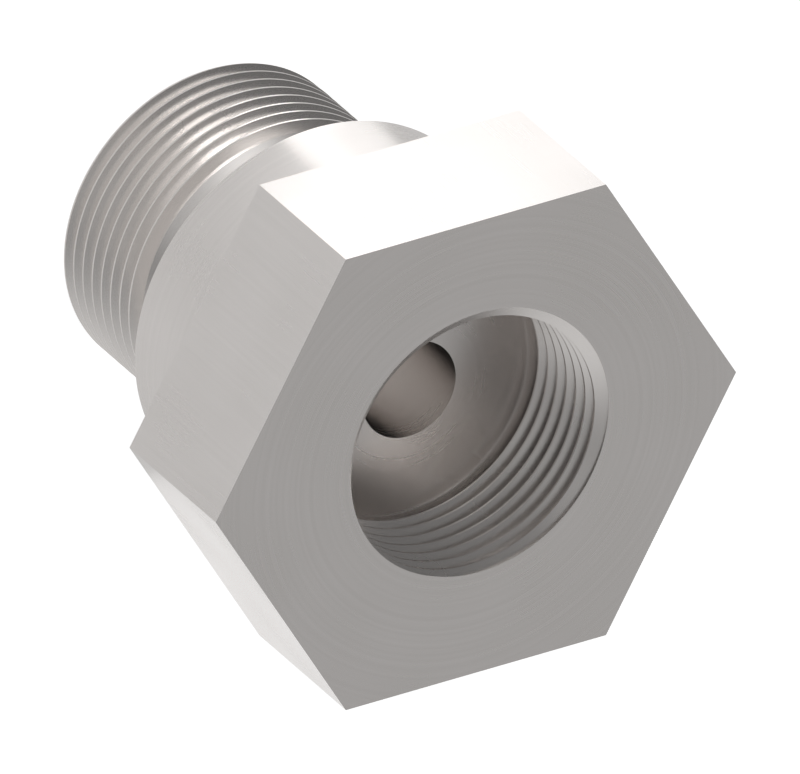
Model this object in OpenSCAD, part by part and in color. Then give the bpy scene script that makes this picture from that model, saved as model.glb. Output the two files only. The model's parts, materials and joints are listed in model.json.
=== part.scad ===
/* [Hexagon] */
// Width across the flats, the size of the spanner
hex_af = 55; // [48:0.5:70]
// Length of the hexagon along the axis
hex_length = 18.25; // [15:0.05:40]

/* [Collar] */
// Diameter of the plain round collar behind the hexagon
collar_d = 43.9; // [39:0.1:47]
// Length of the collar, up to the shoulder that a seal sits on
collar_length = 15.8; // [5:0.1:40]

/* [Male thread] */
// Diameter over the crests of the male thread
male_thread_d = 35.9; // [34.5:0.1:38]
// Distance from one crest of the male thread to the next
male_pitch = 1.944; // [1.6:0.001:2.2]
// Distance from the start of the undercut's slope back to the nearest crest
male_crest_back = 0.54; // [0.3:0.01:1.5]
// Length of full male thread, between the undercut and the end chamfer
male_thread_length = 14.4; // [6:0.1:40]
// Size of the 45 degree chamfer where the nut starts on the thread
end_chamfer = 0.6; // [0.2:0.1:1.5]

/* [Thread undercut] */
// Diameter of the undercut that the threading tool runs out into
undercut_d = 32.5; // [30:0.1:33.5]
// Length of the undercut at its full depth, from the shoulder
undercut_length = 6.25; // [2:0.05:12]
// Angle from the axis of the slope that leads up to the thread
undercut_exit_angle = 45; // [30:1:60]

/* [Female port] */
// Diameter of the port inside the crests of its thread
port_d = 30.3; // [26:0.1:34]
// Distance from one crest of the port's thread to the next
port_pitch = 1.965; // [1.6:0.001:2.2]
// Depth of the first crest behind the front face
port_crest_depth = 1.36; // [0.3:0.01:1.8]
// Depth of the port from the front face to its flat floor
port_depth = 14.15; // [8:0.05:17]

/* [Thread form] */
// Depth of the male thread from crest to root, as a share of its pitch
male_depth_share = 0.612; // [0.5:0.001:0.7]
// Depth of the port's thread from crest to root, as a share of its pitch
port_depth_share = 0.646; // [0.5:0.001:0.7]

/* [Bore] */
// Diameter of the oil passage through the floor of the port
bore_d = 11.4; // [6:0.1:20]

/* [Hidden] */
$fn = 96;

// Distance over the corners of the hexagon
hex_corners = hex_af / cos(30);
// Length of the slope between the undercut and the thread crests
undercut_exit_length = (male_thread_d - undercut_d) / 2 / tan(undercut_exit_angle);

// Heights above the end face of the male thread, which is the origin
thread_start_z = end_chamfer;
thread_stop_z = thread_start_z + male_thread_length;
undercut_z = thread_stop_z + undercut_exit_length;
shoulder_z = undercut_z + undercut_length;
hex_z = shoulder_z + collar_length;
front_z = hex_z + hex_length;
port_floor_z = front_z - port_depth;

// Heights of the crest nearest the undercut and of the crest nearest the front face
male_crest_z = thread_stop_z - male_crest_back;
port_crest_z = front_z - port_crest_depth;

// Diameters at the roots of the threads
male_root_d = male_thread_d - 2 * male_depth_share * male_pitch;
port_root_d = port_d + 2 * port_depth_share * port_pitch;

// Metric thread form: 60 degree flanks and a crest flat of an eighth of the pitch
half_flank_angle = 30;
crest_share = 1 / 8;

// How far a cutter passes the face that it opens
cut_past = 1;
// How far a thread groove passes the crests on each side of it
crest_past = 0.1;

// Outline of one half of the turned stem, radius across and height up
stem_profile = [
    [0, 0],
    [male_thread_d / 2 - end_chamfer, 0],
    [male_thread_d / 2, thread_start_z],
    [male_thread_d / 2, thread_stop_z],
    [undercut_d / 2, undercut_z],
    [undercut_d / 2, shoulder_z],
    [collar_d / 2, shoulder_z],
    [collar_d / 2, hex_z],
    [0, hex_z]
];

// Section of the groove between two thread crests, radius across and height up
// from its middle. Roots inside the crests make a male thread, and roots
// outside them a female one.
function groove_section(crest_r, root_r, pitch) =
    let (
        past_r = crest_r + sign(crest_r - root_r) * crest_past,
        half_mouth = pitch * (1 - crest_share) / 2,
        half_root = half_mouth - abs(crest_r - root_r) * tan(half_flank_angle),
        half_past = half_mouth + crest_past * tan(half_flank_angle)
    )
    [[root_r, -half_root], [past_r, -half_past], [past_r, half_past], [root_r, half_root]];

// Grooves of a thread: one above the crest at crest_z, and turns more below it.
// Each is a ring, one pitch from the next. The slope of the helix, one pitch in
// a whole turn, is left out.
module thread_grooves(crest_d, root_d, pitch, crest_z, turns) {
    section = groove_section(crest_d / 2, root_d / 2, pitch);
    for (turn = [0:turns])
        translate([0, 0, crest_z + (1 / 2 - turn) * pitch])
            rotate_extrude()
                polygon(section);
}

// Hexagon bar stock, left as drawn between its two faced ends.
// A corner points along X and a flat faces along Y.
module hexagon() {
    translate([0, 0, hex_z])
        cylinder(h = hex_length, d = hex_corners, $fn = 6);
}

// Male thread blank, undercut, shoulder and collar, turned from the same bar
module stem() {
    rotate_extrude()
        polygon(stem_profile);
}

// Thread on the stem, from the end chamfer until the tool runs out into the undercut
module male_thread() {
    thread_grooves(
        crest_d = male_thread_d,
        root_d = male_root_d,
        pitch = male_pitch,
        crest_z = male_crest_z,
        turns = floor((male_crest_z - thread_start_z) / male_pitch)
    );
}

// Port drilled, faced flat at its floor and bored to the crests of its thread
module port() {
    translate([0, 0, port_floor_z])
        cylinder(h = port_depth + cut_past, d = port_d);
}

// Thread in the port, open at the front face and running down to the flat floor
module port_thread() {
    intersection() {
        thread_grooves(
            crest_d = port_d,
            root_d = port_root_d,
            pitch = port_pitch,
            crest_z = port_crest_z,
            turns = ceil((port_crest_z - port_floor_z) / port_pitch)
        );
        translate([0, 0, port_floor_z])
            cylinder(h = port_depth + cut_past, d = port_root_d + 2 * cut_past);
    }
}

// Oil passage drilled from the port floor out through the male end
module bore() {
    translate([0, 0, -cut_past])
        cylinder(h = front_z + 2 * cut_past, d = bore_d);
}

// Whole adapter, one piece turned from hexagon steel bar and threaded
module adapter_body() {
    color([0.64, 0.62, 0.61])
        difference() {
            union() {
                hexagon();
                stem();
            }
            male_thread();
            port();
            port_thread();
            bore();
        }
}

adapter_body();
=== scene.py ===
import json
import math

import bmesh
import bpy
import numpy as np
from mathutils import Matrix, Vector


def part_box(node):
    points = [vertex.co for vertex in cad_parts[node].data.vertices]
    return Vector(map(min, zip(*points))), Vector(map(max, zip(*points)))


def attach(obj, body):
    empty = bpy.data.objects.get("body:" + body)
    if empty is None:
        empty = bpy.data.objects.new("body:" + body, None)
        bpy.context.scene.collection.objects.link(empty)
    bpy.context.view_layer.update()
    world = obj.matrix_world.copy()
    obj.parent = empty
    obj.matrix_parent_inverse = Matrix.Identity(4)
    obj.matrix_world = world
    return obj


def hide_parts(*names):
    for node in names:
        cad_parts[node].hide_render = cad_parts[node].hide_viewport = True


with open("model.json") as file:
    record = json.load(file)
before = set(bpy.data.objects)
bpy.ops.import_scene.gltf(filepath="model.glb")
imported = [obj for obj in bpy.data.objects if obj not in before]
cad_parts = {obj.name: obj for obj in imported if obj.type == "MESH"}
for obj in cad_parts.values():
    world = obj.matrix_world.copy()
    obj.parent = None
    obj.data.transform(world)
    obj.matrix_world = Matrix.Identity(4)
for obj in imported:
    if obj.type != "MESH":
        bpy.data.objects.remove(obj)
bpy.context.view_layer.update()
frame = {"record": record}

# Adapter body: one piece of stainless steel, turned from drawn hexagon bar and
# drilled through. Both threads are cut last, the outer one up to its undercut
# and the inner one down to the flat floor of the port.
MM = 0.001
low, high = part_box("adapter_body")
mounts = {mount["name"]: mount for mount in frame["record"]["mounts"]}

hex_af = high[1] - low[1]
front_z = high[2]
bore_r = mounts["through_bore"]["dims"]["r_mm"] * MM
port_floor_z = low[2] + mounts["through_bore"]["dims"]["length_mm"] * MM
port_crest_r = mounts["female_port"]["dims"]["r_mm"] * MM
thread_crest_r = mounts["male_thread"]["dims"]["r_mm"] * MM

hex_length = 18.25 * MM
collar_r = 21.95 * MM
collar_length = 15.8 * MM
undercut_r = 16.25 * MM
undercut_slope = math.tan(math.radians(45))
thread_length = 14.4 * MM
end_chamfer = 0.6 * MM

hex_z = front_z - hex_length
shoulder_z = hex_z - collar_length
thread_stop_z = low[2] + end_chamfer + thread_length
undercut_z = thread_stop_z + (thread_crest_r - undercut_r) / undercut_slope

# Columns of points round the axis: a multiple of 6, so the hexagon is exact
COLUMNS = 288
turn = np.linspace(0, 2 * math.pi, COLUMNS + 1)


def ring(radius, height):
    """Points round the axis. Radius and height are one value, or one per column."""
    r = np.broadcast_to(radius, turn.shape)
    z = np.broadcast_to(height, turn.shape)
    return np.stack([r * np.cos(turn), r * np.sin(turn), z], axis=1)


def hexagon_ring(height):
    """Points on the outline of the hexagon bar, with a corner along X."""
    from_flat = turn % math.radians(60) - math.radians(30)
    return ring(hex_af / 2 / np.cos(from_flat), height)


def thread_rings(crest_r, root_r, pitch, crest_z, low_z, high_z, cones=()):
    """Rings along a right-handed 60 degree thread, cut off square at low_z and high_z.

    crest_z is the height of a crest at +X. Each cone is (radius, height, slope), and
    what lies outside it is turned away.
    """
    crest_share = 1 / 8
    flank_angle = math.radians(30)
    half_crest = crest_share * pitch / 2
    flank = abs(crest_r - root_r) * math.tan(flank_angle)
    lead = pitch * turn / (2 * math.pi)

    def thread_r(z):
        off_crest = np.abs((z - crest_z - lead + pitch / 2) % pitch - pitch / 2)
        depth = np.clip((off_crest - half_crest) / flank, 0, 1)
        return crest_r + (root_r - crest_r) * depth

    def cone_r(z):
        return np.min([r0 + slope * (z - z0) for r0, z0, slope in cones], axis=0)

    # Where the section of one turn bends, and turns enough to pass both ends
    kinks = (-half_crest, half_crest, half_crest + flank, pitch - half_crest - flank)
    first = math.floor((low_z - crest_z) / pitch) - 2
    last = math.ceil((high_z - crest_z) / pitch) + 1
    heights = [
        np.clip(crest_z + lead + turn_no * pitch + kink, low_z, high_z)
        for turn_no in range(first, last)
        for kink in kinks
    ]
    if not cones:
        return [ring(thread_r(z), z) for z in heights]

    # One more ring after each, where the thread comes out of a cone or goes into it
    rings = []
    least_change = 1e-12
    for z, next_z in zip(heights, heights[1:]):
        room = cone_r(z) - thread_r(z)
        next_room = cone_r(next_z) - thread_r(next_z)
        change = room - next_room
        change[np.abs(change) < least_change] = least_change
        cross_z = z + np.clip(room / change, 0, 1) * (next_z - z)
        for height in (z, cross_z):
            rings.append(ring(np.minimum(thread_r(height), cone_r(height)), height))
    return rings


male_rings = thread_rings(
    crest_r=thread_crest_r,
    root_r=16.76 * MM,
    pitch=1.944 * MM,
    crest_z=13.761 * MM,
    low_z=low[2],
    high_z=undercut_z,
    cones=(
        (thread_crest_r - end_chamfer, low[2], 1.0),
        (undercut_r, undercut_z, -undercut_slope),
    ),
)
port_rings = thread_rings(
    crest_r=port_crest_r,
    root_r=16.42 * MM,
    pitch=1.965 * MM,
    crest_z=55.749 * MM,
    low_z=port_floor_z,
    high_z=front_z,
)

# Rings from the bore, round the outside and back in. Only the hexagon keeps the
# skin of the bar as drawn.
rings = [ring(bore_r, low[2])]
rings += male_rings
rings += [
    ring(undercut_r, undercut_z),
    ring(undercut_r, shoulder_z),
    ring(collar_r, shoulder_z),
    ring(collar_r, hex_z),
]
drawn_row = len(rings)
rings += [hexagon_ring(hex_z), hexagon_ring(front_z)]
rings += port_rings[::-1]
rings += [ring(bore_r, port_floor_z), ring(bore_r, low[2])]

body = bpy.data.meshes.new("adapter_body_skin")
wide = COLUMNS + 1
corners = [
    row * wide + column
    for row in range(len(rings) - 1)
    for column in range(COLUMNS)
]
quads = [(at, at + 1, at + wide + 1, at + wide) for at in corners]
body.from_pydata(np.concatenate(rings).tolist(), [], quads)
turned_steel = 0
drawn_steel = 1
for polygon in body.polygons:
    is_drawn = polygon.index // COLUMNS == drawn_row
    polygon.material_index = drawn_steel if is_drawn else turned_steel

# Points closer than this are one: the rings meet where the threads are cut off
weld_distance = 0.0015 * MM
sharp_edge = math.radians(8)
bm = bmesh.new()
bm.from_mesh(body)
bmesh.ops.remove_doubles(bm, verts=bm.verts, dist=weld_distance)
bmesh.ops.recalc_face_normals(bm, faces=bm.faces)
bm.to_mesh(body)
bm.free()
body.shade_smooth()
body.set_sharp_from_angle(angle=sharp_edge)

adapter = bpy.data.objects.new("adapter_body_skin", body)
bpy.context.scene.collection.objects.link(adapter)


def linear(code):
    """An sRGB hex colour as the linear RGBA that shaders take."""
    parts = [int(code[i:i + 2], 16) / 255 for i in (1, 3, 5)]
    parts = [c / 12.92 if c <= 0.04045 else ((c + 0.055) / 1.055) ** 2.4 for c in parts]
    return (*parts, 1.0)


def add(tree, kind, settings, links=None):
    """Adds a node. Settings fill its properties and inputs, and links feed its inputs."""
    node = tree.nodes.new(kind)
    for name, value in settings.items():
        if isinstance(name, str) and hasattr(node, name):
            setattr(node, name, value)
        else:
            node.inputs[name].default_value = value
    for name, socket in (links or {}).items():
        tree.links.new(socket, node.inputs[name])
    return node


# Bright stainless steel, bare. It gives the eye a pale, slightly warm mirror,
# blurred to satin by tool marks about a thousandth of a millimetre deep, and
# blurred unevenly where hands and cutting oil have left a film.
peak_colour = "#F0ECEA"
groove_colour = "#E4E0DD"
mean_groove_share = 0.75
share_swing = 0.5
steel_roughness = 0.25
mark_swing = 0.03
film_swing = 0.02
film_size = 9 * MM
film_low = 0.25
film_high = 0.75
mark_depth = 0.001 * MM


def bright_steel(name, tool_marks):
    """Bright steel. tool_marks draws what the tool left, from a place on the part."""
    material = bpy.data.materials.new(name)
    material.use_nodes = True
    tree = material.node_tree
    shader = tree.nodes["Principled BSDF"]
    shader.inputs["Metallic"].default_value = 1.0

    place = add(tree, "ShaderNodeTexCoord", {}).outputs["Object"]
    marks = tool_marks(tree, place)
    film = add(
        tree, "ShaderNodeTexNoise", {"Scale": 1 / film_size, "Detail": 0.0}, {"Vector": place}
    ).outputs[0]
    in_groove = add(
        tree,
        "ShaderNodeMath",
        {"operation": "MULTIPLY_ADD", 1: -share_swing, 2: mean_groove_share},
        {0: marks},
    ).outputs[0]
    groove_share = add(
        tree,
        "ShaderNodeMath",
        {"operation": "MULTIPLY_ADD", 1: share_swing},
        {0: film, 2: in_groove},
    ).outputs[0]
    colour = add(
        tree,
        "ShaderNodeMix",
        {"data_type": "RGBA", 6: linear(peak_colour), 7: linear(groove_colour)},
        {0: groove_share},
    )
    tree.links.new(colour.outputs[2], shader.inputs["Base Color"])

    under_film = add(
        tree,
        "ShaderNodeMapRange",
        {
            "From Min": film_low,
            "From Max": film_high,
            "To Min": steel_roughness - film_swing / 2,
            "To Max": steel_roughness + film_swing / 2,
        },
        {"Value": film},
    ).outputs[0]
    blur = add(
        tree,
        "ShaderNodeMath",
        {"operation": "MULTIPLY_ADD", 1: mark_swing},
        {0: marks, 2: under_film},
    )
    tree.links.new(blur.outputs[0], shader.inputs["Roughness"])
    relief = add(tree, "ShaderNodeBump", {"Distance": mark_depth}, {"Height": marks})
    tree.links.new(relief.outputs[0], shader.inputs["Normal"])
    return material


# Turned and faced steel: rings round the axis, one for each turn of the bar under
# the tool. The real feed is near 0.12 mm, too fine to show, so it is drawn wider.
# The flanks of the threads are cut by the sides of a formed tool, and are smooth.
ring_spacing = 0.6 * MM
ring_detail = 1.0
most_upright_turned = 0.5
least_upright_faced = 0.95
no_mark = 0.5


def feed_rings(tree, place):
    """Uneven rings: one after another along the axis, and on end faces across it."""
    height = add(tree, "ShaderNodeSeparateXYZ", {}, {0: place}).outputs[2]
    flattened = add(
        tree, "ShaderNodeVectorMath", {"operation": "MULTIPLY", 1: (1, 1, 0)}, {0: place}
    ).outputs[0]
    radius = add(
        tree, "ShaderNodeVectorMath", {"operation": "LENGTH"}, {0: flattened}
    ).outputs["Value"]

    normal = add(tree, "ShaderNodeTexCoord", {}).outputs["Normal"]
    upward = add(tree, "ShaderNodeSeparateXYZ", {}, {0: normal}).outputs[2]
    upright = add(tree, "ShaderNodeMath", {"operation": "ABSOLUTE"}, {0: upward}).outputs[0]
    on_face = add(
        tree,
        "ShaderNodeMath",
        {"operation": "GREATER_THAN", 1: least_upright_faced},
        {0: upright},
    ).outputs[0]
    on_turned = add(
        tree,
        "ShaderNodeMath",
        {"operation": "LESS_THAN", 1: most_upright_turned},
        {0: upright},
    ).outputs[0]
    off_flanks = add(
        tree, "ShaderNodeMath", {"operation": "ADD"}, {0: on_face, 1: on_turned}
    ).outputs[0]

    tool_path = add(
        tree, "ShaderNodeMix", {}, {0: on_face, 2: height, 3: radius}
    ).outputs[0]
    uneven = add(
        tree,
        "ShaderNodeTexNoise",
        {"noise_dimensions": "1D", "Scale": 1 / ring_spacing, "Detail": ring_detail},
        {"W": tool_path},
    ).outputs[0]
    marks = add(tree, "ShaderNodeMix", {2: no_mark}, {0: off_flanks, 3: uneven})
    return marks.outputs[0]


# Flats of the bar, as drawn cold through the die: lines along the bar, each about
# 15 mm long. Real ones are under 0.1 mm wide, too fine to show, so they are drawn
# wider too.
line_width = 0.4 * MM
line_length = 15 * MM
line_detail = 1.0


def die_lines(tree, place):
    """Long faint lines along the axis."""
    stretched = add(
        tree,
        "ShaderNodeVectorMath",
        {"operation": "MULTIPLY", 1: (1 / line_width, 1 / line_width, 1 / line_length)},
        {0: place},
    ).outputs[0]
    lines = add(
        tree, "ShaderNodeTexNoise", {"Scale": 1.0, "Detail": line_detail}, {"Vector": stretched}
    )
    return lines.outputs[0]


body.materials.append(bright_steel("turned_stainless_steel", feed_rings))
body.materials.append(bright_steel("drawn_stainless_steel", die_lines))
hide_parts("adapter_body")
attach(adapter, "root")

# Floor: matt white paper that the adapter stands on, with its male end down.
# The camera sees it lifted to plain white, so that only the soft shadow shows,
# and the steel mirrors it a little brighter than the lamps make it.
floor_size = 3000 * MM
floor_colour = "#D9D9D9"
camera_lift = 0.80
mirror_lift = 0.32
white = (1, 1, 1, 1)

bpy.ops.mesh.primitive_plane_add(size=floor_size, location=(0, 0, low[2]))
floor = bpy.context.object
floor.name = "floor"
paper = bpy.data.materials.new("white_paper")
paper.use_nodes = True
tree = paper.node_tree
matt = tree.nodes["Principled BSDF"]
matt.inputs["Base Color"].default_value = linear(floor_colour)
matt.inputs["Roughness"].default_value = 1.0
matt.inputs["Specular IOR Level"].default_value = 0.0
path = add(tree, "ShaderNodeLightPath", {})
seen = add(
    tree,
    "ShaderNodeMath",
    {"operation": "MULTIPLY", 1: camera_lift},
    {0: path.outputs["Is Camera Ray"]},
).outputs[0]
lift = add(
    tree,
    "ShaderNodeMath",
    {"operation": "MULTIPLY_ADD", 1: mirror_lift},
    {0: path.outputs["Is Glossy Ray"], 2: seen},
).outputs[0]
glow = add(tree, "ShaderNodeEmission", {"Color": white}, {"Strength": lift})
both = add(tree, "ShaderNodeAddShader", {}, {0: matt.outputs[0], 1: glow.outputs[0]})
tree.links.new(both.outputs[0], tree.nodes["Material Output"].inputs["Surface"])
floor.data.materials.append(paper)

# Studio: a dim room with broad soft lamps, each brightest in its middle and fading
# out all round it. They are (azimuth, elevation, brightness), and the azimuths run
# from +X, a corner of the hexagon, to +Y, square to a flat.
sky_glow = 0.15
lamp_edge = 10
soft_lamps = (
    (90, 12, 2.15),
    (135, 12, 0.88),
    (225, 12, 0.86),
    (270, 12, 0.36),
    (315, 12, 0.75),
    (270, 45, 0.36),
    (315, 45, 0.07),
    (170, 60, 0.23),
)
studio = bpy.data.worlds.new("studio")
bpy.context.scene.world = studio
studio.use_nodes = True
tree = studio.node_tree
sky = tree.nodes["Background"]
sky.inputs["Color"].default_value = white
direction = add(tree, "ShaderNodeTexCoord", {}).outputs["Generated"]
total = sky.inputs["Strength"]
for azimuth, elevation, brightness in soft_lamps:
    a = math.radians(azimuth)
    e = math.radians(elevation)
    middle = (math.cos(a) * math.cos(e), math.sin(a) * math.cos(e), math.sin(e))
    facing = add(
        tree, "ShaderNodeVectorMath", {"operation": "DOT_PRODUCT", 1: middle}, {0: direction}
    ).outputs["Value"]
    ahead = add(
        tree, "ShaderNodeMath", {"operation": "MAXIMUM", 1: 0.0}, {0: facing}
    ).outputs[0]
    faded = add(
        tree, "ShaderNodeMath", {"operation": "POWER", 1: lamp_edge}, {0: ahead}
    ).outputs[0]
    share = add(
        tree, "ShaderNodeMath", {"operation": "MULTIPLY_ADD", 1: brightness}, {0: faded}
    )
    tree.links.new(share.outputs[0], total)
    total = share.inputs[2]
total.default_value = sky_glow

# Light panels: round ones that lie on the paper, facing up, the first of them under
# the passage. The steel mirrors them where it looks down. They are (distance from
# the axis in mm, azimuth, radius in mm, brightness).
panel_height = 0.3 * MM
light_panels = (
    (0, 0, 5.5, 0.33),
    (28, 65, 5, 1.06),
    (28, 80, 5, 1.04),
    (42, 54, 10, 0.58),
    (42, 72, 10, 0.74),
    (60, 270, 30, 0.35),
    (70, 65, 20, 0.72),
    (70, 85, 18, 0.55),
    (95, 65, 30, 0.60),
    (95, 95, 30, 5.40),
    (95, 125, 30, 0.74),
)
for distance, azimuth, radius, brightness in light_panels:
    a = math.radians(azimuth)
    panel = bpy.data.lights.new("light_panel", "AREA")
    panel.shape = "DISK"
    panel.size = 2 * radius * MM
    panel_area = math.pi * (radius * MM) ** 2
    panel.energy = brightness * math.pi * panel_area
    lamp = bpy.data.objects.new("light_panel", panel)
    lamp.location = (
        distance * MM * math.cos(a),
        distance * MM * math.sin(a),
        low[2] + panel_height,
    )
    lamp.rotation_euler = (math.pi, 0, 0)
    bpy.context.scene.collection.objects.link(lamp)

# Camera: as in the photograph, a parallel view from 30 degrees to the left of
# the axis and 30 degrees above it, with the male end pointing away.
view_turn = math.radians(30)
view_tilt = math.radians(30)
picture_width = 84.541 * MM
centre_right = -8.023 * MM
centre_up = 6.376 * MM
camera_away = 600 * MM

right = Vector((math.cos(view_turn), 0, math.sin(view_turn)))
toward = Vector((
    -math.sin(view_turn) * math.cos(view_tilt),
    math.sin(view_tilt),
    math.cos(view_turn) * math.cos(view_tilt),
))
up = toward.cross(right)
camera_data = bpy.data.cameras.new("camera")
camera_data.type = "ORTHO"
camera_data.ortho_scale = picture_width
camera = bpy.data.objects.new("camera", camera_data)
centre = Vector((0, 0, front_z)) + centre_right * right + centre_up * up
camera.matrix_world = (
    Matrix.Translation(centre + camera_away * toward)
    @ Matrix((right, up, toward)).transposed().to_4x4()
)
bpy.context.scene.collection.objects.link(camera)
bpy.context.scene.camera = camera

bpy.context.scene.view_settings.view_transform = "Standard"
